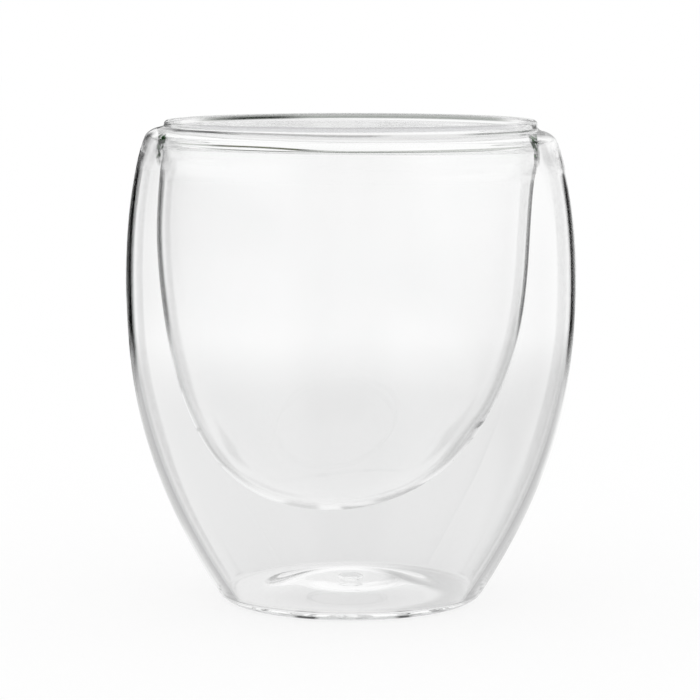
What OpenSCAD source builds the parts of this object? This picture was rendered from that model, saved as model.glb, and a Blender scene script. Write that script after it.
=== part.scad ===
// Double walled glass cup: a blown bowl that hangs inside a blown outer wall.
// The two are fused in a ring just under the lip. The air between them is shut in
// by a drop of glass that fills the vent hole in the middle of the base.
// Every piece is turned about Z, and the cup stands on the plane Z = 0.

/* [Cup] */
// Height from the table to the top of the lip
cup_h = 96; // [90:0.5:110]
// Height that the lip stands above the shoulder
lip_h = 1.8; // [1.2:0.1:4]

/* [Outer wall] */
// Widest outside diameter
belly_d = 90; // [86:0.5:104]
// Height of the widest ring
belly_z = 62.5; // [52:0.5:72]
// Thickness of the glass from the belly up
shell_wall = 1.15; // [0.8:0.05:1.6]
// Thickness of the glass in the base
base_wall = 1.8; // [1.2:0.1:2.2]
// Radius of the roll that turns the wall in to the bowl
shoulder_r = 3.9; // [3:0.1:5]
// Angle above level at which the roll starts
shoulder_slope = 50; // [40:1:60]

/* [Foot] */
// Outside diameter of the flat ring that the cup stands on
foot_d = 48; // [42:0.5:54]
// Width of that flat ring
foot_ring_w = 3.5; // [2:0.25:5]
// Radius of the corner between the ring and the side
foot_corner_r = 3; // [2.5:0.1:4]
// Angle above level at which the side leaves the corner
foot_flare = 57.5; // [50:0.5:66]
// Rise of the middle of the base above the table
kick_h = 2.2; // [1:0.1:4]
// Diameter of the level middle of the raised base
kick_flat_d = 14; // [10:0.5:20]

/* [Vent] */
// Diameter of the vent hole
vent_d = 5; // [3:0.25:7]
// Height of the seal's crown over each end of the hole
seal_crown = 0.7; // [0.3:0.05:0.9]

/* [Bowl] */
// Width of the air from the belly in to the line of the bowl's straight part
air_gap = 6.55; // [5:0.05:9]
// Height of the bowl's underside above the table
bowl_z = 18; // [12:0.5:26]
// Height at which the straight upper part starts
bowl_turn_z = 78; // [66:0.5:84]
// Thickness of the bowl's side
bowl_wall = 1; // [0.8:0.05:1.6]
// Thickness of the bowl's bottom
bowl_base_wall = 1.7; // [1.2:0.1:2.4]
// Thickness of the round lip
lip_wall = 1.2; // [1:0.05:1.8]
// Height of the stretch under the lip in which the side thickens
lip_fade_h = 5; // [3:0.5:8]

/* [Fused ring] */
// Width of the ring from the bowl to the edge of the shoulder
weld_w = 1.1; // [0.8:0.05:1.6]
// Height of the ring's wedge under the top of the shoulder
weld_h = 4.2; // [2.5:0.1:6]
// Height that the ring climbs up the lip above the shoulder
weld_rise = 0.55; // [0.3:0.05:0.8]

/* [Hidden] */
$fn = 96;

// Steps along a long curve and along a short one
side_steps = 32;
short_steps = 12;

// Handles of the outer wall's two curves, as shares of the height that each spans
flare_share = 0.4;
low_belly_share = 0.35;
high_belly_share = 0.55;
roll_start_share = 0.06;

// Handles of the bowl's curve, as shares of its height and of its radius
bowl_side_share = 0.66;
bowl_floor_share = 0.66;

// Handles of the slope between the base's middle and the foot ring, as a share of its width
kick_share = 0.45;

// Handles of the lip's fade, as a share of its height
fade_share = 0.5;

// Height at which the outer wall has its belly thickness, as a share of the belly's height
foot_fade_share = 0.9;

// Place of the roll's centre, as a share of the fused ring's width out from the bowl
roll_centre_share = 0.3;

// Handles of the fused ring's two hollows, as shares of its width and of its heights
weld_top_share = 0.3;
weld_throat_share = 0.7;
weld_waist_share = 0.5;

belly_r = belly_d / 2;
bowl_r = belly_r - shell_wall - air_gap;
foot_r = foot_d / 2;
vent_r = vent_d / 2;
kick_flat_r = kick_flat_d / 2;
ring_in_r = foot_r - foot_ring_w;
shoulder_z = cup_h - lip_h;
lip_c = [bowl_r - lip_wall / 2, cup_h - lip_wall / 2];
roll_c = [bowl_r + weld_w * roll_centre_share, shoulder_z - shoulder_r];
roll_end_a = 90 - asin(weld_w * (1 - roll_centre_share) / shoulder_r);

// Point on the cubic curve from a to d with the handle points b and c
function cubic(a, b, c, d, t) =
    pow(1 - t, 3) * a + 3 * pow(1 - t, 2) * t * b + 3 * (1 - t) * t * t * c + pow(t, 3) * d;

// Direction of that curve, as a unit vector
function cubic_way(a, b, c, d, t) =
    unit(pow(1 - t, 2) * (b - a) + 2 * (1 - t) * t * (c - b) + t * t * (d - c));

function unit(v) = v / norm(v);
function left_of(v) = [-v.y, v.x];
function heading(a) = [cos(a), sin(a)];
function backwards(list) = [for (i = [len(list) - 1 : -1 : 0]) list[i]];

// A path is a list of stations, each a point and the direction in which the path passes it.
// The glass lies to the left of the path. Each stretch leaves out its first station,
// because the stretch before it ends there.
function cubic_path(a, b, c, d, steps) =
    [for (i = [1 : steps]) [cubic(a, b, c, d, i / steps), cubic_way(a, b, c, d, i / steps)]];

function arc_path(centre, r, start_a, end_a, steps) =
    [for (i = [1 : steps])
        let (a = start_a + (end_a - start_a) * i / steps)
        [centre + r * heading(a), left_of(heading(a))]];

function outer_points(path) = [for (station = path) station[0]];
function inner_points(path, walls) =
    [for (i = [0 : len(path) - 1]) path[i][0] + walls[i] * left_of(path[i][1])];

// Underside of the base: level middle, slope down to the foot ring, the ring itself
function base_path() = concat(
    [[[vent_r, kick_h], [1, 0]], [[kick_flat_r, kick_h], [1, 0]]],
    cubic_path(
        [kick_flat_r, kick_h],
        [kick_flat_r + kick_share * (ring_in_r - kick_flat_r), kick_h],
        [ring_in_r - kick_share * (ring_in_r - kick_flat_r), 0],
        [ring_in_r, 0],
        short_steps
    ),
    [[[foot_r, 0], [1, 0]]],
    arc_path([foot_r, foot_corner_r], foot_corner_r, -90, foot_flare - 90, short_steps)
);

foot_end = [foot_r, foot_corner_r] + foot_corner_r * heading(foot_flare - 90);
roll_start = roll_c + shoulder_r * heading(90 - shoulder_slope);
low_rise = belly_z - foot_end.y;
high_rise = roll_start.y - belly_z;

// Side from the foot's corner out to the belly
function low_side_path() = cubic_path(
    foot_end,
    foot_end + flare_share * low_rise * heading(foot_flare),
    [belly_r, belly_z - low_belly_share * low_rise],
    [belly_r, belly_z],
    side_steps
);

// Side from the belly in to the shoulder, and the roll of the shoulder
function high_side_path() = concat(
    cubic_path(
        [belly_r, belly_z],
        [belly_r, belly_z + high_belly_share * high_rise],
        roll_start - roll_start_share * high_rise * heading(180 - shoulder_slope),
        roll_start,
        side_steps
    ),
    arc_path(roll_c, shoulder_r, 90 - shoulder_slope, roll_end_a, short_steps)
);

// The wall thins from the base's thickness at the table to the belly's thickness
function low_wall(z) =
    shell_wall + (base_wall - shell_wall) * pow(max(0, 1 - z / (foot_fade_share * belly_z)), 2);

shell_path = concat(base_path(), low_side_path(), high_side_path());
shell_walls = concat(
    [for (station = base_path()) base_wall],
    [for (station = low_side_path()) low_wall(station[0].y - foot_end.y)],
    [for (station = high_side_path()) shell_wall]
);

module outer_shell() {
    color([0.86, 0.92, 0.9, 0.35])
        rotate_extrude()
            polygon(concat(outer_points(shell_path), backwards(inner_points(shell_path, shell_walls))));
}

// Outside of the bowl from the middle of its bottom up to its straight part
function bowl_path() = concat(
    [[[0, bowl_z], [1, 0]]],
    cubic_path(
        [0, bowl_z],
        [bowl_floor_share * bowl_r, bowl_z],
        [bowl_r, bowl_turn_z - bowl_side_share * (bowl_turn_z - bowl_z)],
        [bowl_r, bowl_turn_z],
        side_steps
    )
);

// The bowl's wall thickens evenly towards the middle of its bottom
bowl_walls = [for (i = [0 : side_steps])
    bowl_wall + (bowl_base_wall - bowl_wall) * pow(1 - i / side_steps, 2)];

// Inside of the bowl from the lip down to its even wall
function fade_path() = cubic_path(
    [bowl_r - lip_wall, lip_c.y - lip_wall],
    [bowl_r - lip_wall, lip_c.y - lip_wall - fade_share * lip_fade_h],
    [bowl_r - bowl_wall, lip_c.y - lip_wall - (1 - fade_share) * lip_fade_h],
    [bowl_r - bowl_wall, lip_c.y - lip_wall - lip_fade_h],
    short_steps
);

module inner_bowl() {
    color([0.92, 0.96, 0.95, 0.3])
        rotate_extrude()
            polygon(concat(
                outer_points(bowl_path()),
                [[bowl_r, lip_c.y]],
                outer_points(arc_path(lip_c, lip_wall / 2, 0, 180, short_steps)),
                [[bowl_r - lip_wall, lip_c.y - lip_wall]],
                outer_points(fade_path()),
                backwards(inner_points(bowl_path(), bowl_walls))
            ));
}

// The shoulder's cut edge, which the fused ring meets face to face, and the way the wall ends there
roll_end_way = left_of(heading(roll_end_a));
edge_top = roll_c + shoulder_r * heading(roll_end_a);
edge_bottom = roll_c + (shoulder_r - shell_wall) * heading(roll_end_a);
weld_tip = [bowl_r, shoulder_z - weld_h];
weld_top = [bowl_r, shoulder_z + weld_rise];

module rim_weld() {
    color([0.2, 0.34, 0.26, 0.6])
        rotate_extrude()
            polygon(concat(
                [weld_tip],
                outer_points(cubic_path(
                    weld_tip,
                    [bowl_r, weld_tip.y + weld_waist_share * (edge_bottom.y - weld_tip.y)],
                    edge_bottom + weld_throat_share * (edge_bottom.x - bowl_r) * roll_end_way,
                    edge_bottom,
                    short_steps
                )),
                [edge_top],
                outer_points(cubic_path(
                    edge_top,
                    edge_top + weld_throat_share * weld_w * roll_end_way,
                    [bowl_r, weld_top.y - weld_top_share * weld_rise],
                    weld_top,
                    short_steps
                ))
            ));
}

// Drop of glass that fills the vent hole, crowned over both ends of it
module vent_seal() {
    crown_r = (vent_r * vent_r + seal_crown * seal_crown) / (2 * seal_crown);
    crown_a = asin(vent_r / crown_r);
    top_z = kick_h + base_wall;
    low_c = [0, kick_h - seal_crown + crown_r];
    high_c = [0, top_z + seal_crown - crown_r];
    color([0.75, 0.86, 0.82, 0.5])
        rotate_extrude()
            polygon(concat(
                [[0, kick_h - seal_crown]],
                outer_points(arc_path(low_c, crown_r, -90, crown_a - 90, short_steps)),
                [[vent_r, top_z]],
                outer_points(arc_path(high_c, crown_r, 90 - crown_a, 90, short_steps))
            ));
}

inner_bowl();
outer_shell();
rim_weld();
vent_seal();
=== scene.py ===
"""A double walled glass cup: a blown bowl, fused just under its lip into a blown outer wall.

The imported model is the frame. Each of its four glass pieces is made here again as a turned
surface with the slight unevenness of hand work, and dressed as clear glass.
"""

import logging
import math
from dataclasses import dataclass, field, replace
from enum import Enum

import bpy
import numpy as np
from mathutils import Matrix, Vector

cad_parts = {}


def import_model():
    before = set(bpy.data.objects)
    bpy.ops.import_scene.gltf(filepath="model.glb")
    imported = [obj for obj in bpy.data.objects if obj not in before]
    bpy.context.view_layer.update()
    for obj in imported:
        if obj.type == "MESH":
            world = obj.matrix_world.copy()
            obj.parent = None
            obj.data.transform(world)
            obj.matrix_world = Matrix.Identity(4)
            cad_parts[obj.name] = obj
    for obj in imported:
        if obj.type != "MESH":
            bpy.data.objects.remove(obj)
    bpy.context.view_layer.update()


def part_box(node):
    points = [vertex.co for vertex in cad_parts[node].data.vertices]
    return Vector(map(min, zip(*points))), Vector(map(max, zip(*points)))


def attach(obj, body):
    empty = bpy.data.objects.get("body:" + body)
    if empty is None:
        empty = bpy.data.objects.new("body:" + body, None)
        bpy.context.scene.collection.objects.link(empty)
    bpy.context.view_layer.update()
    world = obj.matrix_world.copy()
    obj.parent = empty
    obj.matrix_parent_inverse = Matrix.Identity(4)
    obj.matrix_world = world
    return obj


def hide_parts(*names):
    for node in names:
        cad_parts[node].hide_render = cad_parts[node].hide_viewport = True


log = logging.getLogger("cup")

MM = 0.001
BODY = "root"
# A length under which two points are one
TINY = 1e-9
# Bounces that a light path may have in the glass
DEEPEST_PATH = 200
# Stretch left of the middle over which a bent band rises
BEND_REACH = 20.0 * MM
# Stretch from the middle of a ring over which a band on one side fades in
SIDE_REACH = 6.0 * MM
# Blend at which Layer Weight's Facing is 1 less the cosine of the view's angle
PLAIN_FACING = 0.5
# Glossy Depth from which on a light path has been reflected
REFLECTED = 0.5

Colour = tuple[float, float, float]
WHITE: Colour = (1.0, 1.0, 1.0)
# Near black with a trace of green, used for painted shade in the glass
PAINTED_SHADE_GREEN: Colour = (0.0, 0.003, 0.0)


class Face(Enum):
    """What a strip of a piece's surface meets. The value is its material slot in Blender."""

    AIR = 0
    FUSED = 1


def heading(degrees: float) -> np.ndarray:
    """Unit vector in the outline's plane, turned up from level by an angle.

    Args:
        degrees: The angle above level.

    Returns:
        The cosine and the sine of the angle.
    """
    return np.array([math.cos(math.radians(degrees)), math.sin(math.radians(degrees))])


def at(r: float, z: float) -> np.ndarray:
    """Point or step in the outline's plane, by its radius and height."""
    return np.array([r, z])


def left_of(ways: np.ndarray) -> np.ndarray:
    """Each direction turned a quarter turn anticlockwise: (x, z) becomes (-z, x)."""
    return np.stack([-ways[..., 1], ways[..., 0]], axis=-1)


def smooth_step(low: float, high: float, values: np.ndarray) -> np.ndarray:
    """Ramp from 0 at low to 1 at high: t squared times (3 - 2 t), where t is the share passed."""
    t = np.clip((values - low) / (high - low), 0.0, 1.0)
    return t * t * (3.0 - 2.0 * t)


@dataclass
class Path:
    """Stations along an outline, with the direction in which the outline passes each."""

    points: np.ndarray
    ways: np.ndarray

    @classmethod
    def line(cls, start: np.ndarray, end: np.ndarray, steps: int = 1) -> "Path":
        """Straight stretch: start + t (end - start), for t in even steps from 0 to 1.

        Args:
            start: First point.
            end: Last point.
            steps: Number of even steps.

        Returns:
            The stretch.
        """
        t = np.linspace(0.0, 1.0, steps + 1)[:, None]
        way = (end - start) / np.linalg.norm(end - start)
        return cls(start + t * (end - start), np.repeat(way[None], steps + 1, axis=0))

    @classmethod
    def arc(cls, centre: np.ndarray, r: float, start: float, end: float, steps: int) -> "Path":
        """Round stretch: centre + r (cos a, sin a), for a in even steps between two angles.

        Args:
            centre: Centre of the arc.
            r: Radius.
            start: First angle in degrees.
            end: Last angle in degrees, above the first.
            steps: Number of even steps.

        Returns:
            The arc, which turns to the left.
        """
        a = np.radians(np.linspace(start, end, steps + 1))
        out = np.stack([np.cos(a), np.sin(a)], axis=1)
        return cls(centre + r * out, left_of(out))

    @classmethod
    def cubic(
        cls, a: np.ndarray, b: np.ndarray, c: np.ndarray, d: np.ndarray, steps: int
    ) -> "Path":
        """Cubic curve: the four points weighted by the terms of ((1 - t) + t) cubed.

        Args:
            a: First point.
            b: Handle of the first point.
            c: Handle of the last point.
            d: Last point.
            steps: Number of even steps of t.

        Returns:
            The curve, its ways being its first derivative brought to length 1.
        """
        t = np.linspace(0.0, 1.0, steps + 1)[:, None]
        s = 1.0 - t
        points = s**3 * a + 3 * s**2 * t * b + 3 * s * t**2 * c + t**3 * d
        ways = s**2 * (b - a) + 2 * s * t * (c - b) + t**2 * (d - c)
        return cls(points, ways / np.linalg.norm(ways, axis=1)[:, None])

    def then(self, other: "Path") -> "Path":
        """This path followed by another one, whose first station is left out as a double."""
        return Path(
            np.vstack([self.points, other.points[1:]]), np.vstack([self.ways, other.ways[1:]])
        )

    def inner(self, walls: np.ndarray) -> "Path":
        """The other side of the glass: each point moved left by the wall there, end to start."""
        moved = self.points + walls[:, None] * left_of(self.ways)
        return Path(moved[::-1], -self.ways[::-1])


@dataclass
class Stretch:
    """Part of a piece's outline between two corners."""

    points: np.ndarray
    face: Face = Face.AIR


@dataclass(frozen=True)
class CupSizes:
    """Sizes that the pieces share, in metres. The whole cup's come from the frame."""

    height: float
    belly_r: float
    lip_h: float = 1.8 * MM
    shell_wall: float = 1.15 * MM
    air_gap: float = 6.55 * MM
    shoulder_r: float = 3.9 * MM
    shoulder_slope: float = 50.0
    weld_w: float = 1.1 * MM
    weld_h: float = 4.2 * MM
    weld_rise: float = 0.55 * MM
    roll_centre_share: float = 0.3
    kick_h: float = 2.2 * MM
    base_wall: float = 1.8 * MM
    vent_r: float = 2.5 * MM

    @classmethod
    def from_frame(cls) -> "CupSizes":
        """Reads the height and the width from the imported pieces.

        Returns:
            The sizes.
        """
        low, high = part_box("outer_shell")
        belly_r = min(-low.x, high.x, -low.y, high.y)
        return cls(height=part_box("inner_bowl")[1].z, belly_r=belly_r)

    @property
    def bowl_r(self) -> float:
        """Outside radius of the bowl's straight part."""
        return self.belly_r - self.shell_wall - self.air_gap

    @property
    def shoulder_z(self) -> float:
        """Height of the shoulder's crest."""
        return self.height - self.lip_h

    @property
    def roll_centre(self) -> np.ndarray:
        """Centre of the roll that turns the outer wall in to the bowl."""
        x = self.bowl_r + self.weld_w * self.roll_centre_share
        return at(x, self.shoulder_z - self.shoulder_r)

    @property
    def roll_end(self) -> float:
        """Angle in degrees at which the roll ends at the fused ring."""
        reach = self.weld_w * (1.0 - self.roll_centre_share)
        return 90.0 - math.degrees(math.asin(reach / self.shoulder_r))


@dataclass(frozen=True)
class HandWork:
    """The slight unevenness that blowing and fusing by hand leave in the glass.

    Every shift is the same for all the pieces, so that they stay fused face to face.
    """

    sizes: CupSizes
    shoulder_tilt: float = 0.38 * MM
    tilt_from_z: float = 80.0 * MM
    tilt_full_z: float = 90.0 * MM
    lip_level_z: float = 95.3 * MM
    lip_lean: float = 0.22

    def settle(self, spots: np.ndarray) -> np.ndarray:
        """Closes the lip a little and tilts the shoulder and the fused ring, the left side up.

        The rise is the tilt times -x over the bowl's radius. It fades in from the height where
        the tilt starts to where it is full, and out again from the shoulder to the level lip.
        Above the shoulder the radius shrinks by the lip's lean times the height above it.

        Args:
            spots: Points as rows of x, y and z.

        Returns:
            The moved points.
        """
        z = spots[:, 2]
        share = smooth_step(self.tilt_from_z, self.tilt_full_z, z)
        share = share * (1.0 - smooth_step(self.sizes.shoulder_z, self.lip_level_z, z))
        moved = spots.copy()
        shrink = self.lip_lean * np.clip(z - self.sizes.shoulder_z, 0.0, None)
        moved[:, :2] *= (1.0 - shrink / self.sizes.bowl_r)[:, None]
        moved[:, 2] -= self.shoulder_tilt * share * spots[:, 0] / self.sizes.bowl_r
        return moved


class Nodes:
    """A node tree under construction: adds nodes, sets their sockets and links them."""

    def __init__(self, tree: bpy.types.NodeTree) -> None:
        """Empties the tree.

        Args:
            tree: The material's or the world's tree.
        """
        self.tree = tree
        tree.nodes.clear()

    def add(self, kind: str, sockets: dict | None = None, **settings: object) -> bpy.types.Node:
        """Adds a node.

        Args:
            kind: The node type's name after ShaderNode.
            sockets: Value or source socket for each input, by name or index.
            settings: The node's own properties.

        Returns:
            The node.
        """
        node = self.tree.nodes.new("ShaderNode" + kind)
        for name, value in settings.items():
            setattr(node, name, value)
        for name, value in (sockets or {}).items():
            if isinstance(value, bpy.types.NodeSocket):
                self.tree.links.new(value, node.inputs[name])
            else:
                node.inputs[name].default_value = value
        return node

    def math(self, operation: str, *values: object) -> bpy.types.NodeSocket:
        """Adds a Math node, whose inputs are numbers or sockets, and returns its result."""
        return self.add("Math", dict(enumerate(values)), operation=operation).outputs[0]

    def ramp(
        self, value: object, low: float, high: float, start: float = 0.0, end: float = 1.0
    ) -> bpy.types.NodeSocket:
        """Adds a smooth ramp.

        Args:
            value: What the ramp goes by.
            low: Value at which the ramp begins.
            high: Value at which it ends.
            start: Result up to the low value.
            end: Result from the high value on.

        Returns:
            The result's socket.
        """
        limits = {"From Min": low, "From Max": high, "To Min": start, "To Max": end}
        sockets = {"Value": value, **limits}
        return self.add("MapRange", sockets, interpolation_type="SMOOTHSTEP").outputs[0]

    def window(self, value: object, low: float, high: float, soft: float) -> bpy.types.NodeSocket:
        """Adds a smooth window: one ramp up at low times one down at high.

        Args:
            value: What the window goes by.
            low: Value at which it is half open.
            high: Value at which it is half shut.
            soft: Reach of each ramp to both sides.

        Returns:
            The socket of the result, which is 1 inside.
        """
        rise = self.ramp(value, low - soft, low + soft)
        fall = self.ramp(value, high - soft, high + soft, 1.0, 0.0)
        return self.math("MULTIPLY", rise, fall)

    def blend(self, share: object, first: object, second: object) -> bpy.types.NodeSocket:
        """Adds a colour mix.

        Args:
            share: Share of the second colour.
            first: Colour at share 0.
            second: Colour at share 1.

        Returns:
            The result's socket.
        """
        node = self.add("Mix", data_type="RGBA")
        colours = [socket for socket in node.inputs if socket.type == "RGBA"]
        for socket, value in zip([node.inputs[0], *colours], (share, first, second)):
            if isinstance(value, bpy.types.NodeSocket):
                self.tree.links.new(value, socket)
            else:
                socket.default_value = value
        return node.outputs[2]

    def radius(self, x: object, y: object) -> bpy.types.NodeSocket:
        """Adds the distance from the axis, the root of x x + y y, and returns its result."""
        square = self.math("ADD", self.math("MULTIPLY", x, x), self.math("MULTIPLY", y, y))
        return self.math("SQRT", square)


def rgba(colour: Colour) -> tuple[float, float, float, float]:
    """A colour with full opacity."""
    return (*colour, 1.0)


class Side(Enum):
    """Which part of a ring a band of painted shade is on. The value is its sign along Y."""

    BACK = 1.0
    FRONT = -1.0


@dataclass(frozen=True)
class PaintedShadeBand:
    """A level band of painted shade round part of a ring, where the glass bends light away.

    Its ends are heights and places along X. The bend raises its left end. Where a radius is given,
    the band starts beyond it.
    """

    low: float
    high: float
    left: float
    right: float
    colour: Colour
    side: Side
    soft: float = 0.08 * MM
    soft_ends: float = 3.0 * MM
    bend: float = 0.0
    beyond: float = 0.0

    def put(self, nodes: Nodes, spot: bpy.types.NodeSocket, tint: object) -> bpy.types.NodeSocket:
        """Puts the band of painted shade over a tint.

        The share of the band's colour is a window in height, times one along X, times a ramp
        across the middle of the ring that keeps the band on its side. It is 0 within the radius
        beyond which the band starts.

        Args:
            nodes: The material's tree.
            spot: The place in Object coordinates.
            tint: Colour under the band.

        Returns:
            The colour with the band in place.
        """
        x, y, z = nodes.add("SeparateXYZ", {0: spot}).outputs
        rise = nodes.ramp(x, -BEND_REACH, 0.0, self.bend, 0.0)
        share = nodes.window(nodes.math("SUBTRACT", z, rise), self.low, self.high, self.soft)
        across = nodes.window(x, self.left, self.right, self.soft_ends)
        share = nodes.math("MULTIPLY", share, across)
        side = nodes.ramp(nodes.math("MULTIPLY", y, self.side.value), 0.0, SIDE_REACH)
        share = nodes.math("MULTIPLY", share, side)
        if self.beyond > 0.0:
            outside = nodes.math("GREATER_THAN", nodes.radius(x, y), self.beyond)
            share = nodes.math("MULTIPLY", share, outside)
        return nodes.blend(share, tint, rgba(self.colour))


@dataclass(frozen=True)
class PaintedRingEndShade:
    """Painted shade on the outer wall where the fused ring's dark ends show through it at both
    sides.

    A sight line's reach is how far it passes from the cup's axis, in plan. The mottle is the share
    of the colour that a noise takes away where it is above its limits.
    """

    low: float = 88.6 * MM
    high: float = 94.8 * MM
    soft: float = 1.2 * MM
    inner_reach: float = 36.0 * MM
    outer_reach: float = 37.6 * MM
    narrow_reach: float = 36.85 * MM
    narrow_z: float = 90.5 * MM
    wide_z: float = 93.4 * MM
    soft_reach: float = 0.12 * MM
    shift: float = 0.5 * MM
    sight_rise: float = 0.045
    least_flat: float = 0.02
    colour: Colour = PAINTED_SHADE_GREEN
    mottle: float = 0.4
    mottle_scale: float = 900.0
    mottle_detail: float = 1.0
    mottle_limits: tuple[float, float] = (0.5, 0.62)

    def put(self, nodes: Nodes, spot: bpy.types.NodeSocket, tint: object) -> bpy.types.NodeSocket:
        """Puts the painted shade of the ends over a tint.

        A level sight line that meets the surface at radius r has the reach r sqrt(1 - c c). Here c
        is the cosine, in plan, of the angle between that line and the normal: the cosine of the
        whole angle, less the share that the line's fall gives it, over the normal's length in
        plan. The ends are where the reach lies within the ring, which narrows towards its tip.

        Args:
            nodes: The material's tree.
            spot: The place in Object coordinates.
            tint: Colour under the ends.

        Returns:
            The colour with the ends in place.
        """
        x, y, z = nodes.add("SeparateXYZ", {0: spot}).outputs
        normal = nodes.add("NewGeometry").outputs["Normal"]
        up = nodes.add("SeparateXYZ", {0: normal}).outputs[2]
        flat = nodes.math("SUBTRACT", 1.0, nodes.math("MULTIPLY", up, up))
        flat = nodes.math("SQRT", nodes.math("MAXIMUM", flat, self.least_flat))
        facing = nodes.add("LayerWeight", {"Blend": PLAIN_FACING}).outputs["Facing"]
        cosine = nodes.math("SUBTRACT", 1.0, facing)
        cosine = nodes.math("SUBTRACT", cosine, nodes.math("MULTIPLY", up, self.sight_rise))
        cosine = nodes.math("MAXIMUM", nodes.math("DIVIDE", cosine, flat), 0.0)
        plan = nodes.math("SUBTRACT", 1.0, nodes.math("MULTIPLY", cosine, cosine))
        plan = nodes.math("SQRT", nodes.math("MAXIMUM", plan, 0.0))
        reach = nodes.math("MULTIPLY", nodes.radius(x, y), plan)
        shift = nodes.math("MULTIPLY", nodes.math("SIGN", x), self.shift)
        reach = nodes.math("ADD", reach, shift)
        inner = nodes.ramp(z, self.narrow_z, self.wide_z, self.narrow_reach, self.inner_reach)
        depth = nodes.math("SUBTRACT", reach, inner)
        share = nodes.ramp(depth, -self.soft_reach, self.soft_reach)
        soft = self.soft_reach
        out = nodes.ramp(reach, self.outer_reach - soft, self.outer_reach + soft, 1.0, 0.0)
        share = nodes.math("MULTIPLY", share, out)
        share = nodes.math("MULTIPLY", share, nodes.window(z, self.low, self.high, self.soft))
        grain = {"Scale": self.mottle_scale, "Detail": self.mottle_detail}
        noise = nodes.add("TexNoise", {"Vector": spot, **grain}).outputs[0]
        spots = nodes.ramp(noise, *self.mottle_limits, 1.0, 1.0 - self.mottle)
        share = nodes.math("MULTIPLY", share, spots)
        return nodes.blend(share, tint, rgba(self.colour))


@dataclass(frozen=True)
class GlassFinish:
    """Clear blown glass: fine cords, a faint tint that varies over the piece, and painted shade.
    """

    name: str
    clear: Colour = WHITE
    tinted: Colour = (0.997, 0.998, 0.998)
    # Painted shade where the surface is seen edge on, partly for the longer path through the glass
    # there: its tint and the facing from which it grows
    edge: Colour = (0.96, 0.975, 0.97)
    edge_shade_from: float = 0.75
    roughness: float = 0.0
    ior: float = 1.47
    cord_scale: float = 45.0
    cord_stretch: tuple[float, float, float] = (1.0, 1.0, 0.22)
    cord_depth: float = 0.02 * MM
    patch_scale: float = 60.0
    patch_limits: tuple[float, float] = (0.4, 0.6)
    detail: float = 2.0
    # Bands of painted shade, each put over the tint and those before it
    bands: tuple[PaintedShadeBand | PaintedRingEndShade, ...] = ()

    def make(self) -> bpy.types.Material:
        """Builds the material.

        Returns:
            A Principled material: transmission 1, a noise that mixes the two tints, painted shade
            where the surface is seen edge on, the bands of painted shade, and a stretched noise as
            bump for the cords.
        """
        material = bpy.data.materials.new(self.name)
        material.use_nodes = True
        nodes = Nodes(material.node_tree)
        spot = nodes.add("TexCoord").outputs["Object"]
        drawn = nodes.add("Mapping", {"Vector": spot, "Scale": self.cord_stretch}).outputs[0]
        grain = {"Scale": self.patch_scale, "Detail": self.detail}
        patches = nodes.add("TexNoise", {"Vector": spot, **grain}).outputs[0]
        share = nodes.ramp(patches, *self.patch_limits)
        tint = nodes.blend(share, rgba(self.clear), rgba(self.tinted))
        # Painted shade where the surface is seen edge on, partly for the longer path through the
        # glass
        facing = nodes.add("LayerWeight", {"Blend": PLAIN_FACING}).outputs["Facing"]
        tint = nodes.blend(nodes.ramp(facing, self.edge_shade_from, 1.0), tint, rgba(self.edge))
        # Bands of painted shade over the tint
        for band in self.bands:
            tint = band.put(nodes, spot, tint)
        grain = {"Scale": self.cord_scale, "Detail": self.detail}
        cords = nodes.add("TexNoise", {"Vector": drawn, **grain}).outputs[0]
        sockets = {"Height": cords, "Strength": 1.0, "Distance": self.cord_depth}
        bump = nodes.add("Bump", sockets)
        sockets = {
            "Base Color": tint,
            "Roughness": self.roughness,
            "IOR": self.ior,
            "Transmission Weight": 1.0,
            "Normal": bump.outputs[0],
        }
        shader = nodes.add("BsdfPrincipled", sockets)
        nodes.add("OutputMaterial", {"Surface": shader.outputs[0]})
        return material


@dataclass(frozen=True)
class FusedFinish:
    """The face where two pieces have run together, which light crosses without a trace."""

    name: str = "fused_glass"

    def make(self) -> bpy.types.Material:
        """Builds the material: a plain Transparent shader.

        Returns:
            The material.
        """
        material = bpy.data.materials.new(self.name)
        material.use_nodes = True
        nodes = Nodes(material.node_tree)
        shader = nodes.add("BsdfTransparent", {"Color": rgba(WHITE)})
        nodes.add("OutputMaterial", {"Surface": shader.outputs[0]})
        return material


def smooth_mesh(
    name: str, spots: np.ndarray, quads: np.ndarray, triangles: np.ndarray, slots: np.ndarray
) -> bpy.types.Mesh:
    """Writes a mesh with smooth faces.

    Args:
        name: The mesh's name.
        spots: Vertices as rows of x, y and z.
        quads: Vertex numbers of the faces with four sides.
        triangles: Vertex numbers of the faces with three.
        slots: Material slot of each face, the quads' first.

    Returns:
        The mesh.
    """
    mesh = bpy.data.meshes.new(name)
    mesh.vertices.add(len(spots))
    mesh.vertices.foreach_set("co", spots.astype(np.float32).ravel())
    mesh.loops.add(quads.size + triangles.size)
    mesh.loops.foreach_set("vertex_index", np.concatenate([quads.ravel(), triangles.ravel()]))
    mesh.polygons.add(len(slots))
    loop_starts = [4 * np.arange(len(quads)), quads.size + 3 * np.arange(len(triangles))]
    mesh.polygons.foreach_set("loop_start", np.concatenate(loop_starts))
    mesh.polygons.foreach_set("material_index", slots)
    mesh.update(calc_edges=True)
    mesh.validate()
    mesh.shade_smooth()
    return mesh


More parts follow.
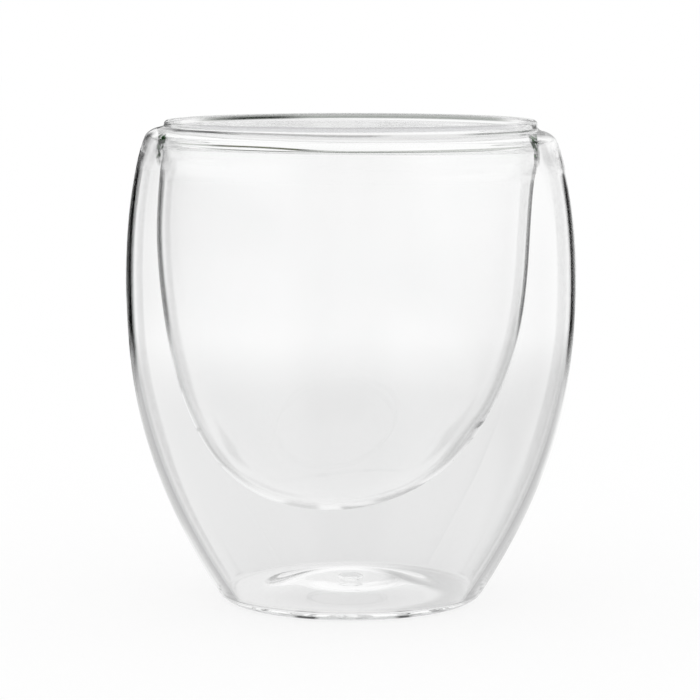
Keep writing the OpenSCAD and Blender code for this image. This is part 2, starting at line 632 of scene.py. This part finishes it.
def sharpen(mesh: bpy.types.Mesh, ring: np.ndarray, corners: np.ndarray) -> None:
    """Marks the edges that run round a turned mesh at the outline's corners as sharp.

    Args:
        mesh: The turned mesh.
        ring: Outline point of each vertex.
        corners: Outline points that are corners.
    """
    ends = np.zeros(2 * len(mesh.edges), np.int32)
    mesh.edges.foreach_get("vertices", ends)
    ends = ring[ends.reshape(-1, 2)]
    sharp = (ends[:, 0] == ends[:, 1]) & np.isin(ends[:, 0], corners)
    attribute = mesh.attributes.new("sharp_edge", "BOOLEAN", "EDGE")
    attribute.data.foreach_set("value", sharp)


@dataclass
class TurnedPiece:
    """A piece of glass turned about Z from its outline, which keeps the glass on its left."""

    sizes: CupSizes
    hand: HandWork
    finish: GlassFinish
    fused: bpy.types.Material
    node: str = ""
    slot: str = ""
    around: int = 240

    def outline(self) -> list[Stretch]:
        """The stretches of the outline in order, from the axis back to it or in a closed ring."""
        raise NotImplementedError

    def shape(self, spots: np.ndarray) -> np.ndarray:
        """The piece's own unevenness, on points as rows of x, y and z."""
        return spots

    def thinned(self, spots: np.ndarray, side: np.ndarray, share: np.ndarray) -> np.ndarray:
        """Thins a wall from its inside.

        Each point moves out by its share of the way to the outside at its height: r becomes
        r + share (R(z) - r), which leaves the points of the outside where they are.

        Args:
            spots: Points as rows of x, y and z.
            side: The outside's points as rows of r and z, from low to high.
            share: Share of the wall that goes, for each point.

        Returns:
            The moved points.
        """
        r = np.maximum(np.hypot(spots[:, 0], spots[:, 1]), TINY)
        out = np.interp(spots[:, 2], side[:, 1], side[:, 0])
        moved = spots.copy()
        moved[:, :2] *= (1.0 + share * (out - r) / r)[:, None]
        return moved

    def skin(
        self, poles: np.ndarray, starts: np.ndarray, slots: np.ndarray
    ) -> tuple[np.ndarray, np.ndarray, np.ndarray]:
        """Joins each ring of vertices to the next.

        Vertices j and j + 1 of a ring and the same two of the next ring make a quad. Where one of
        the rings is a single vertex on the axis, the two of the other make a triangle with it.

        Args:
            poles: Whether each outline point is a single vertex.
            starts: First vertex of each outline point.
            slots: Material slot of each strip of faces.

        Returns:
            The quads, the triangles, and the slot of each face, the quads' first.
        """
        j = np.arange(self.around)
        k = (j + 1) % self.around
        here = np.arange(len(slots))
        there = (here + 1) % len(poles)
        both = ~poles[here] & ~poles[there]
        low, high = starts[here[both]][:, None], starts[there[both]][:, None]
        quads = np.stack([low + j, low + k, high + k, high + j], axis=-1).reshape(-1, 4)
        triangles = [np.zeros((0, 3), int)]
        face_slots = [np.repeat(slots[both], self.around)]
        for i in np.flatnonzero(~both):
            low, high = starts[here[i]], starts[there[i]]
            if poles[i]:
                three = [np.full(self.around, low), high + k, high + j]
            else:
                three = [low + j, low + k, np.full(self.around, high)]
            triangles.append(np.stack(three, axis=-1))
            face_slots.append(np.full(self.around, slots[i]))
        return quads, np.vstack(triangles), np.concatenate(face_slots)

    def build(self) -> bpy.types.Object:
        """Turns the outline, dresses it and puts it in the place of its CAD node.

        Outline point i becomes a ring of vertices at (r cos a, r sin a, z), with a in even steps
        round the axis, or one vertex where r is 0.

        Returns:
            The finished object.
        """
        stretches = self.outline()
        points = np.vstack([s.points[:-1] for s in stretches] + [stretches[-1].points[-1:]])
        lengths = [len(s.points) - 1 for s in stretches]
        slots = np.repeat([s.face.value for s in stretches], lengths)
        corners = np.concatenate([[0], np.cumsum(lengths)])
        if np.allclose(points[0], points[-1], atol=TINY):
            points, corners = points[:-1], corners[:-1]
        poles = points[:, 0] < TINY
        counts = np.where(poles, 1, self.around)
        starts = np.concatenate([[0], np.cumsum(counts)[:-1]])
        ring = np.repeat(np.arange(len(points)), counts)
        turn = np.arange(len(ring)) - starts[ring]
        a = 2.0 * np.pi * turn / self.around
        r = points[ring, 0]
        spots = np.stack([r * np.cos(a), r * np.sin(a), points[ring, 1]], axis=1)
        spots = self.hand.settle(self.shape(spots))
        mesh = smooth_mesh(self.node + "_glass", spots, *self.skin(poles, starts, slots))
        sharpen(mesh, ring, corners)
        mesh.materials.append(self.finish.make())
        mesh.materials.append(self.fused)
        piece = bpy.data.objects.new(self.node + "_glass", mesh)
        bpy.context.scene.collection.objects.link(piece)
        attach(piece, BODY)
        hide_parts(self.node)
        log.info("%s: %d faces in place of %s", piece.name, len(mesh.polygons), self.node)
        return piece


@dataclass
class OuterShell(TurnedPiece):
    """The blown outer wall with its rolled shoulder, flared foot and raised base."""

    node: str = "outer_shell"
    slot: str = "wall_glass"
    belly_z: float = 62.5 * MM
    foot_r: float = 24.0 * MM
    foot_ring_w: float = 3.5 * MM
    foot_corner_r: float = 3.0 * MM
    foot_flare: float = 57.5
    kick_flat_r: float = 7.0 * MM
    kick_share: float = 0.45
    flare_share: float = 0.4
    low_belly_share: float = 0.35
    high_belly_share: float = 0.55
    roll_start_share: float = 0.06
    foot_fade_share: float = 0.9
    flat: float = 0.22 * MM
    flat_z: float = 59.0 * MM
    flat_h: float = 24.0 * MM
    thin_belly: float = 0.14
    thin_shoulder: float = 0.28
    thin_z: tuple[float, ...] = (30.0 * MM, 56.0 * MM, 86.0 * MM, 92.0 * MM)
    side_steps: int = 64
    short_steps: int = 16

    def base(self) -> Path:
        """Underside of the base: level middle, slope to the foot ring, the ring and its corner.

        Returns:
            Two lines, a cubic curve between them and an arc.
        """
        s = self.sizes
        flat_end, ring_in = at(self.kick_flat_r, s.kick_h), at(self.foot_r - self.foot_ring_w, 0.0)
        step = at(self.kick_share * (ring_in[0] - self.kick_flat_r), 0.0)
        level = Path.line(at(s.vent_r, s.kick_h), flat_end, self.short_steps)
        slope = Path.cubic(flat_end, flat_end + step, ring_in - step, ring_in, self.short_steps)
        ring = Path.line(ring_in, at(self.foot_r, 0.0), 2)
        r, centre = self.foot_corner_r, at(self.foot_r, self.foot_corner_r)
        corner = Path.arc(centre, r, -90.0, self.foot_flare - 90.0, self.short_steps)
        return level.then(slope).then(ring).then(corner)

    def low_side(self) -> Path:
        """Side from the foot's corner out to the belly.

        Returns:
            A cubic curve.
        """
        s = self.sizes
        foot_end = at(self.foot_r, self.foot_corner_r)
        foot_end = foot_end + self.foot_corner_r * heading(self.foot_flare - 90.0)
        rise = self.belly_z - foot_end[1]
        return Path.cubic(
            foot_end,
            foot_end + self.flare_share * rise * heading(self.foot_flare),
            at(s.belly_r, self.belly_z - self.low_belly_share * rise),
            at(s.belly_r, self.belly_z),
            self.side_steps,
        )

    def high_side(self) -> Path:
        """Side from the belly in to the shoulder, and the shoulder's roll.

        Returns:
            A cubic curve and an arc.
        """
        s = self.sizes
        roll_start = s.roll_centre + s.shoulder_r * heading(90.0 - s.shoulder_slope)
        rise = roll_start[1] - self.belly_z
        side = Path.cubic(
            at(s.belly_r, self.belly_z),
            at(s.belly_r, self.belly_z + self.high_belly_share * rise),
            roll_start - self.roll_start_share * rise * heading(180.0 - s.shoulder_slope),
            roll_start,
            self.side_steps,
        )
        roll = Path.arc(
            s.roll_centre, s.shoulder_r, 90.0 - s.shoulder_slope, s.roll_end, self.short_steps
        )
        return side.then(roll)

    def low_walls(self, low: Path) -> np.ndarray:
        """Thickness along the low side, which nears the belly's with the square of what is left.

        Args:
            low: The low side.

        Returns:
            The thickness at each station.
        """
        s = self.sizes
        z = low.points[:, 1] - low.points[0, 1]
        left = np.clip(1.0 - z / (self.foot_fade_share * self.belly_z), 0.0, None)
        return s.shell_wall + (s.base_wall - s.shell_wall) * left**2

    def shape(self, spots: np.ndarray) -> np.ndarray:
        """Flattens the left of the belly a little, and thins the wall towards the shoulder.

        The radius shrinks by the flat times the square of the share to the left, -x over r, and
        times (1 - h squared) squared, where h is the height from the flat's middle over its reach.

        Args:
            spots: Points as rows of x, y and z.

        Returns:
            The moved points.
        """
        r = np.hypot(spots[:, 0], spots[:, 1])
        z = spots[:, 2]
        left = np.clip(-spots[:, 0] / r, 0.0, 1.0) ** 2
        h = (z - self.flat_z) / self.flat_h
        shrink = self.flat * left * np.clip(1.0 - h**2, 0.0, 1.0) ** 2
        low, middle, high, end = self.thin_z
        share = self.thin_belly * smooth_step(low, middle, z)
        share = share + (self.thin_shoulder - self.thin_belly) * smooth_step(middle, high, z)
        share = share * (1.0 - smooth_step(high, end, z))
        side = self.low_side().then(self.high_side()).points
        moved = self.thinned(spots, side, share)
        moved[:, :2] *= (1.0 - shrink / r)[:, None]
        return moved

    def outline(self) -> list[Stretch]:
        """Outside from the vent to the shoulder's edge, the edge, the inside, the vent's wall.

        Returns:
            The four stretches.
        """
        s = self.sizes
        base, low, high = self.base(), self.low_side(), self.high_side()
        outside = base.then(low).then(high)
        walls = np.concatenate(
            [
                np.full(len(base.points), s.base_wall),
                self.low_walls(low)[1:],
                np.full(len(high.points) - 1, s.shell_wall),
            ]
        )
        inside = outside.inner(walls)
        return [
            Stretch(outside.points),
            Stretch(np.vstack([outside.points[-1], inside.points[0]]), Face.FUSED),
            Stretch(inside.points),
            Stretch(np.vstack([inside.points[-1], outside.points[0]]), Face.FUSED),
        ]


@dataclass
class InnerBowl(TurnedPiece):
    """The blown bowl that holds the drink, with its round lip."""

    node: str = "inner_bowl"
    slot: str = "bowl_glass"
    bottom_z: float = 18.0 * MM
    turn_z: float = 78.0 * MM
    wall: float = 1.0 * MM
    bottom_wall: float = 1.7 * MM
    lip_wall: float = 1.2 * MM
    lip_fade_h: float = 5.0 * MM
    side_share: float = 0.66
    floor_share: float = 0.66
    fade_share: float = 0.5
    lean: float = 1.45 * MM
    lean_full_z: float = 70.0 * MM
    lean_start_share: float = 0.12
    swing: float = 2.9 * MM
    swing_from_z: float = 60.0 * MM
    thin: float = 0.45
    thin_lean: float = 0.1
    thin_floor: float = 0.42
    thin_z: tuple[float, ...] = (28.0 * MM, 40.0 * MM, 84.0 * MM, 90.0 * MM)
    side_steps: int = 96
    short_steps: int = 16

    def side(self) -> Path:
        """Outside from the middle of the bottom to the straight part.

        Returns:
            A cubic curve.
        """
        r = self.sizes.bowl_r
        return Path.cubic(
            at(0.0, self.bottom_z),
            at(self.floor_share * r, self.bottom_z),
            at(r, self.turn_z - self.side_share * (self.turn_z - self.bottom_z)),
            at(r, self.turn_z),
            self.side_steps,
        )

    def outline(self) -> list[Stretch]:
        """Outside from the bottom's middle to the lip, with the fused band, then the inside.

        Returns:
            The three stretches.
        """
        s = self.sizes
        side = self.side()
        t = np.linspace(0.0, 1.0, self.side_steps + 1)
        walls = self.wall + (self.bottom_wall - self.wall) * (1.0 - t) ** 2
        lip_centre = at(s.bowl_r - self.lip_wall / 2, s.height - self.lip_wall / 2)
        weld_low = at(s.bowl_r, s.shoulder_z - s.weld_h)
        weld_high = at(s.bowl_r, s.shoulder_z + s.weld_rise)
        straight = Path.line(side.points[-1], weld_low, self.short_steps)
        fused = Path.line(weld_low, weld_high, self.short_steps)
        neck = Path.line(weld_high, at(s.bowl_r, lip_centre[1]), 2)
        lip = Path.arc(lip_centre, self.lip_wall / 2, 0.0, 180.0, self.short_steps)
        lip_in = lip.points[-1]
        fade_top = lip_in - at(0.0, self.lip_wall / 2)
        fade_end = at(s.bowl_r - self.wall, fade_top[1] - self.lip_fade_h)
        drop = at(0.0, self.fade_share * self.lip_fade_h)
        fade = Path.cubic(fade_top, fade_top - drop, fade_end + drop, fade_end, self.short_steps)
        inside = side.inner(walls)
        down = Path.line(fade.points[-1], inside.points[0], self.short_steps)
        inner = Path.line(lip_in, fade_top, 1).then(fade).then(down).then(inside)
        return [
            Stretch(side.then(straight).points),
            Stretch(fused.points, Face.FUSED),
            Stretch(neck.then(lip).then(inner).points),
        ]

    def shape(self, spots: np.ndarray) -> np.ndarray:
        """Lets the bowl sit to the left of the axis, more so towards its bottom, and thins it.

        The shift along X is the lean times d (2 - d), where d is the share of the way down from
        the fused ring to the lean's full height, with a smooth start, and the swing times the
        square of the share of the way down from its start to the bottom. The wall is thinner
        between the bottom and the lip, and more so on the right. Towards the bottom its inside
        sinks instead, by its share of the way down to the outside below it.

        Args:
            spots: Points as rows of x, y and z.

        Returns:
            The moved points.
        """
        low, full, end, gone = self.thin_z
        across = spots[:, 0] / self.sizes.bowl_r
        share = self.thin + self.thin_lean * across
        share = share * smooth_step(low, full, spots[:, 2])
        share = share * (1.0 - smooth_step(end, gone, spots[:, 2]))
        side = np.vstack([self.side().points, [self.sizes.bowl_r, self.sizes.height]])
        spots = self.thinned(spots, side, share)
        r = np.hypot(spots[:, 0], spots[:, 1])
        under = np.interp(r, side[:-1, 0], side[:-1, 1])
        share = self.thin_floor * (1.0 - smooth_step(low, full, spots[:, 2]))
        spots[:, 2] -= share * (spots[:, 2] - under)
        top = self.sizes.shoulder_z - self.sizes.weld_h
        z = spots[:, 2]
        d = np.clip((top - z) / (top - self.lean_full_z), 0.0, 1.0)
        lean = self.lean * d * (2.0 - d) * smooth_step(0.0, self.lean_start_share, d)
        depth = np.clip((self.swing_from_z - z) / (self.swing_from_z - self.bottom_z), 0.0, 1.0)
        moved = spots.copy()
        moved[:, 0] -= lean + self.swing * depth**2
        return moved


@dataclass
class RimWeld(TurnedPiece):
    """The ring of glass fused between the shoulder's edge and the bowl."""

    node: str = "rim_weld"
    slot: str = "weld_glass"
    top_share: float = 0.3
    throat_share: float = 0.7
    waist_share: float = 0.5
    short_steps: int = 20

    def outline(self) -> list[Stretch]:
        """From the tip up the hollow to the shoulder's edge, over the top, down the bowl's wall.

        Returns:
            The four stretches.
        """
        s = self.sizes
        out = heading(s.roll_end)
        way = left_of(out)
        edge_top = s.roll_centre + s.shoulder_r * out
        edge_low = s.roll_centre + (s.shoulder_r - s.shell_wall) * out
        tip = at(s.bowl_r, s.shoulder_z - s.weld_h)
        top = at(s.bowl_r, s.shoulder_z + s.weld_rise)
        hollow = Path.cubic(
            tip,
            at(s.bowl_r, tip[1] + self.waist_share * (edge_low[1] - tip[1])),
            edge_low + self.throat_share * (edge_low[0] - s.bowl_r) * way,
            edge_low,
            self.short_steps,
        )
        crown = Path.cubic(
            edge_top,
            edge_top + self.throat_share * s.weld_w * way,
            at(s.bowl_r, top[1] - self.top_share * s.weld_rise),
            top,
            self.short_steps,
        )
        return [
            Stretch(hollow.points),
            Stretch(np.vstack([edge_low, edge_top]), Face.FUSED),
            Stretch(crown.points),
            Stretch(Path.line(top, tip, self.short_steps).points, Face.FUSED),
        ]


@dataclass
class VentSeal(TurnedPiece):
    """The drop of glass that fills the vent hole in the middle of the base."""

    node: str = "vent_seal"
    slot: str = "seal_glass"
    crown: float = 0.7 * MM
    short_steps: int = 16

    def outline(self) -> list[Stretch]:
        """The low crown from the axis out, the hole's wall, the high crown back to the axis.

        Returns:
            The three stretches.
        """
        s = self.sizes
        crown_r = (s.vent_r**2 + self.crown**2) / (2 * self.crown)
        half = math.degrees(math.asin(s.vent_r / crown_r))
        top_z = s.kick_h + s.base_wall
        low_centre = at(0.0, s.kick_h - self.crown + crown_r)
        high_centre = at(0.0, top_z + self.crown - crown_r)
        low = Path.arc(low_centre, crown_r, -90.0, half - 90.0, self.short_steps)
        high = Path.arc(high_centre, crown_r, 90.0 - half, 90.0, self.short_steps)
        low.points[0, 0] = 0.0
        high.points[-1, 0] = 0.0
        return [
            Stretch(low.points),
            Stretch(np.vstack([low.points[-1], high.points[0]]), Face.FUSED),
            Stretch(high.points),
        ]


@dataclass(frozen=True)
class Card:
    """A dark card or a soft box that stands round the cup, as reflections show it.

    Its sides are angles in degrees round Z from +Y, to the right, and above level.
    """

    left: float
    right: float
    low: float
    high: float
    level: float
    soft: float = 1.5
    soft_ends: float = 1.5

    def put(
        self, nodes: Nodes, level: object, round_z: object, above: object
    ) -> bpy.types.NodeSocket:
        """Puts the card over what is behind it: level + window (card's level - level).

        Args:
            nodes: The world's tree.
            level: Brightness behind the card.
            round_z: The direction's angle round Z.
            above: The direction's angle above level.

        Returns:
            The brightness with the card in place.
        """
        across = nodes.window(round_z, self.left, self.right, self.soft)
        upright = nodes.window(above, self.low, self.high, self.soft_ends)
        share = nodes.math("MULTIPLY", across, upright)
        return nodes.math("MULTIPLY_ADD", share, nodes.math("SUBTRACT", self.level, level), level)

    def mirrored(self) -> "Card":
        """The same card on the other side."""
        return replace(self, left=-self.right, right=-self.left)


def studio_cards() -> tuple[Card, ...]:
    """The walls, boxes and cards of the photograph's studio.

    Returns:
        The cards, each put over those before it.
    """
    dull_left = Card(-150.0, -42.0, -10.0, 14.0, level=0.5, soft=14.0, soft_ends=5.0)
    behind_camera = Card(145.0, 220.0, -8.0, 60.0, level=0.66, soft=15.0, soft_ends=10.0)
    floor_right = Card(18.0, 40.0, -34.0, -10.0, level=0.5, soft=4.0, soft_ends=3.0)
    above_right = Card(26.0, 43.0, 14.0, 26.0, level=0.05, soft=3.0, soft_ends=3.0)
    return (
        dull_left,
        behind_camera,
        behind_camera.mirrored(),
        floor_right,
        floor_right.mirrored(),
        # Dark cards to the left, with a paler patch over their upper left corner
        Card(-13.0, -3.0, 0.0, 5.0, level=0.15, soft_ends=1.0),
        Card(-33.0, -12.0, -1.0, 12.0, level=0.1),
        Card(-36.0, -22.0, 4.0, 14.0, level=0.5, soft=3.0, soft_ends=2.0),
        Card(-33.0, -19.0, -10.5, 1.0, level=0.0),
        Card(-20.0, -12.0, -9.0, 1.0, level=0.0),
        # A dull card a little to the right
        Card(2.0, 12.0, 1.0, 14.0, level=0.5, soft=2.0, soft_ends=2.0),
        # Dark cards to the right
        Card(14.0, 19.0, -9.0, -1.0, level=0.2),
        Card(18.0, 29.5, -10.5, 1.5, level=0.0),
        above_right,
        above_right.mirrored(),
    )


def lip_painted_shade() -> tuple[PaintedShadeBand, ...]:
    """Bands of painted shade in the round lip: a dim one in front, a dark one behind, darkest
    left.

    Returns:
        The bands, each put over those before it.
    """
    low, middle, high = 94.98 * MM, 95.5 * MM, 96.3 * MM
    left, right = -27.0 * MM, -12.0 * MM
    return (
        PaintedShadeBand(low, high, -31.0 * MM, 32.0 * MM, (0.6, 0.61, 0.6), Side.BACK),
        PaintedShadeBand(low, middle, -29.5 * MM, 31.0 * MM, (0.36, 0.38, 0.36), Side.BACK, soft=0.2 * MM),
        PaintedShadeBand(low, middle, left, right, PAINTED_SHADE_GREEN, Side.BACK, soft=0.25 * MM, soft_ends=5.0 * MM),
        PaintedShadeBand(low, high, -31.0 * MM, 31.0 * MM, (0.72, 0.72, 0.73), Side.FRONT),
    )


def weld_painted_shade() -> tuple[PaintedShadeBand, ...]:
    """Painted shade lines on the fused ring: one along the shoulder, one where it ends below.

    Returns:
        The bands, each put over those before it.
    """
    low, high = 91.22 * MM, 91.58 * MM
    crest_low, crest_high = 94.2 * MM, 94.56 * MM
    bend, crest_bend = 0.75 * MM, 0.3 * MM
    dim, grey, dark = (0.35, 0.35, 0.35), (0.2, 0.21, 0.2), (0.0, 0.0, 0.0)
    return (
        PaintedShadeBand(low, high, -34.0 * MM, 34.0 * MM, (0.3, 0.32, 0.29), Side.FRONT, bend=bend),
        PaintedShadeBand(low, high, -27.0 * MM, -7.0 * MM, (0.002, 0.003, 0.0), Side.FRONT, bend=bend),
        PaintedShadeBand(crest_low, crest_high, -38.0 * MM, 6.0 * MM, dim, Side.FRONT, bend=crest_bend),
        PaintedShadeBand(crest_low, crest_high, 22.0 * MM, 38.0 * MM, grey, Side.FRONT, bend=crest_bend),
        PaintedShadeBand(crest_low, crest_high, -40.0 * MM, -23.0 * MM, dark, Side.FRONT, bend=crest_bend),
    )


def foot_painted_shade() -> tuple[PaintedShadeBand, ...]:
    """Painted shade along the front of the foot: a grey line and two dark strokes.

    Returns:
        The bands, each put over those before it.
    """
    grey = (0.55, 0.56, 0.56)
    line = PaintedShadeBand(0.05 * MM, 1.1 * MM, -23.0 * MM, 23.0 * MM, grey, Side.FRONT, beyond=24.05 * MM)
    dark = replace(line, high=0.9 * MM, colour=(0.0, 0.0, 0.0), soft_ends=0.8 * MM)
    return (
        line,
        replace(dark, left=-11.0 * MM, right=-6.4 * MM),
        replace(dark, left=8.8 * MM, right=12.0 * MM),
    )


@dataclass
class Studio:
    """The white table, the studio round it and the camera at the photograph's angle."""

    camera_reach: float = 588.8 * MM
    camera_pitch: float = 6.726
    aim_z: float = 49.98 * MM
    lens: float = 151.2
    sensor: float = 36.0
    shift: float = -0.0009
    floor_r: float = 4.0
    floor_sides: int = 128
    floor_drop: float = 0.1 * MM
    floor_matt: float = 0.15
    # Painted shadow through the glass: the glow is this share near the cup and full beyond the far
    # radius
    painted_shadow_glow: float = 0.8
    near_r: float = 0.2
    far_r: float = 0.45
    table_level: float = 0.84
    room_level: float = 1.0
    sky_level: float = 1.03
    table_limits: tuple[float, float] = (-14.0, -6.0)
    sky_limits: tuple[float, float] = (8.0, 24.0)
    cards: tuple[Card, ...] = field(default_factory=studio_cards)

    def build(self) -> None:
        """Builds the camera, the world and the floor."""
        self.place_camera()
        self.light_world()
        self.lay_floor()
        bpy.context.scene.view_settings.view_transform = "Standard"
        log.info("studio: camera, world with %d cards, floor", len(self.cards))

    def place_camera(self) -> None:
        """Puts the camera before the cup: its reach back along -Y and up by its pitch."""
        data = bpy.data.cameras.new("photo_camera")
        data.lens = self.lens
        data.sensor_width = self.sensor
        data.shift_x = self.shift
        camera = bpy.data.objects.new("photo_camera", data)
        pitch = math.radians(self.camera_pitch)
        back = self.camera_reach * math.cos(pitch)
        camera.location = (0.0, -back, self.aim_z + self.camera_reach * math.sin(pitch))
        camera.rotation_euler = (math.pi / 2 - pitch, 0.0, 0.0)
        bpy.context.scene.collection.objects.link(camera)
        bpy.context.scene.camera = camera

    def light_world(self) -> None:
        """Sets the world: white wherever it is seen or lights, and the cards in reflections.

        What the glass reflects goes by direction: the table's level below, the room's round
        about and the sky's above, joined by smooth ramps between the limits, which are angles
        above level, with the cards over them.
        """
        world = bpy.data.worlds.new("studio")
        bpy.context.scene.world = world
        world.use_nodes = True
        nodes = Nodes(world.node_tree)
        way = nodes.add("SeparateXYZ", {0: nodes.add("TexCoord").outputs["Generated"]})
        round_z = nodes.math("DEGREES", nodes.math("ARCTAN2", way.outputs[0], way.outputs[1]))
        above = nodes.math("DEGREES", nodes.math("ARCSINE", way.outputs[2]))
        low = nodes.ramp(above, *self.table_limits, self.table_level, self.room_level)
        rise = nodes.ramp(above, *self.sky_limits, 0.0, self.sky_level - self.room_level)
        level = nodes.math("ADD", low, rise)
        for card in self.cards:
            level = card.put(nodes, level, round_z, above)
        depth = nodes.add("LightPath").outputs["Glossy Depth"]
        reflected = nodes.math("GREATER_THAN", depth, REFLECTED)
        seen = nodes.math("MULTIPLY_ADD", reflected, nodes.math("SUBTRACT", level, 1.0), 1.0)
        background = nodes.add("Background", {"Color": rgba(WHITE), "Strength": seen})
        nodes.add("OutputWorld", {"Surface": background.outputs[0]})

    def lay_floor(self) -> None:
        """Lays a round white table top that keeps a faint shadow.

        Through the glass it shows a painted shadow close to the cup, a glow that is weaker there.
        Reflections and a view from below pass it, so that they show the world.
        """
        a = 2.0 * np.pi * np.arange(self.floor_sides) / self.floor_sides
        x, y = self.floor_r * np.cos(a), self.floor_r * np.sin(a)
        spots = np.stack([x, y, np.full_like(a, -self.floor_drop)], axis=1)
        mesh = bpy.data.meshes.new("table_top")
        mesh.from_pydata(spots.tolist(), [], [list(range(self.floor_sides))])
        material = bpy.data.materials.new("white_table")
        material.use_nodes = True
        nodes = Nodes(material.node_tree)
        spot = nodes.add("TexCoord").outputs["Object"]
        away = nodes.add("VectorMath", {0: spot}, operation="LENGTH").outputs["Value"]
        path = nodes.add("LightPath").outputs
        # Painted shadow near the cup, only for rays that came through the glass
        painted_shadow = nodes.ramp(away, self.near_r, self.far_r, self.painted_shadow_glow - 1.0, 0.0)
        painted_shadow = nodes.math("MULTIPLY", painted_shadow, path["Is Transmission Ray"])
        glow = nodes.math("ADD", painted_shadow, 1.0 - self.floor_matt)
        matt = nodes.add("BsdfDiffuse", {"Color": rgba((self.floor_matt,) * 3)})
        shine = nodes.add("Emission", {"Color": rgba(WHITE), "Strength": glow})
        top = nodes.add("AddShader", {0: matt.outputs[0], 1: shine.outputs[0]})
        clear = nodes.add("BsdfTransparent", {"Color": rgba(WHITE)})
        under = nodes.add("NewGeometry").outputs["Backfacing"]
        reflected = nodes.math("GREATER_THAN", path["Glossy Depth"], REFLECTED)
        passed = nodes.math("MAXIMUM", under, reflected)
        whole = nodes.add("MixShader", {0: passed, 1: top.outputs[0], 2: clear.outputs[0]})
        nodes.add("OutputMaterial", {"Surface": whole.outputs[0]})
        mesh.materials.append(material)
        floor = bpy.data.objects.new("table_top", mesh)
        bpy.context.scene.collection.objects.link(floor)


def allow_deep_paths() -> None:
    """Lets light that runs along inside a wall come out again before its path ends."""
    cycles = bpy.context.scene.cycles
    cycles.max_bounces = DEEPEST_PATH
    cycles.transmission_bounces = DEEPEST_PATH
    cycles.glossy_bounces = DEEPEST_PATH
    cycles.transparent_max_bounces = DEEPEST_PATH


def main() -> None:
    """Builds the studio and the cup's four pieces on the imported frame."""
    logging.basicConfig(level=logging.INFO, format="%(name)s: %(message)s")
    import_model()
    sizes = CupSizes.from_frame()
    hand = HandWork(sizes)
    fused = FusedFinish().make()
    Studio().build()
    allow_deep_paths()
    clear = GlassFinish("clear_bowl_glass", bands=lip_painted_shade())
    wall = GlassFinish("clear_wall_glass", bands=(PaintedRingEndShade(), *foot_painted_shade()))
    green = GlassFinish(
        "green_weld_glass",
        tinted=(0.985, 0.995, 0.985),
        # Stronger painted shade where the weld is seen edge on, partly for its longer path through
        # green glass
        edge=(0.88, 0.92, 0.89),
        bands=weld_painted_shade(),
    )
    drop = GlassFinish("vent_seal_glass", clear=(0.99, 0.995, 0.995), tinted=(0.95, 0.965, 0.965))
    InnerBowl(sizes, hand, clear, fused).build()
    OuterShell(sizes, hand, wall, fused).build()
    RimWeld(sizes, hand, green, fused).build()
    VentSeal(sizes, hand, drop, fused).build()


if __name__ == "__main__":
    main()
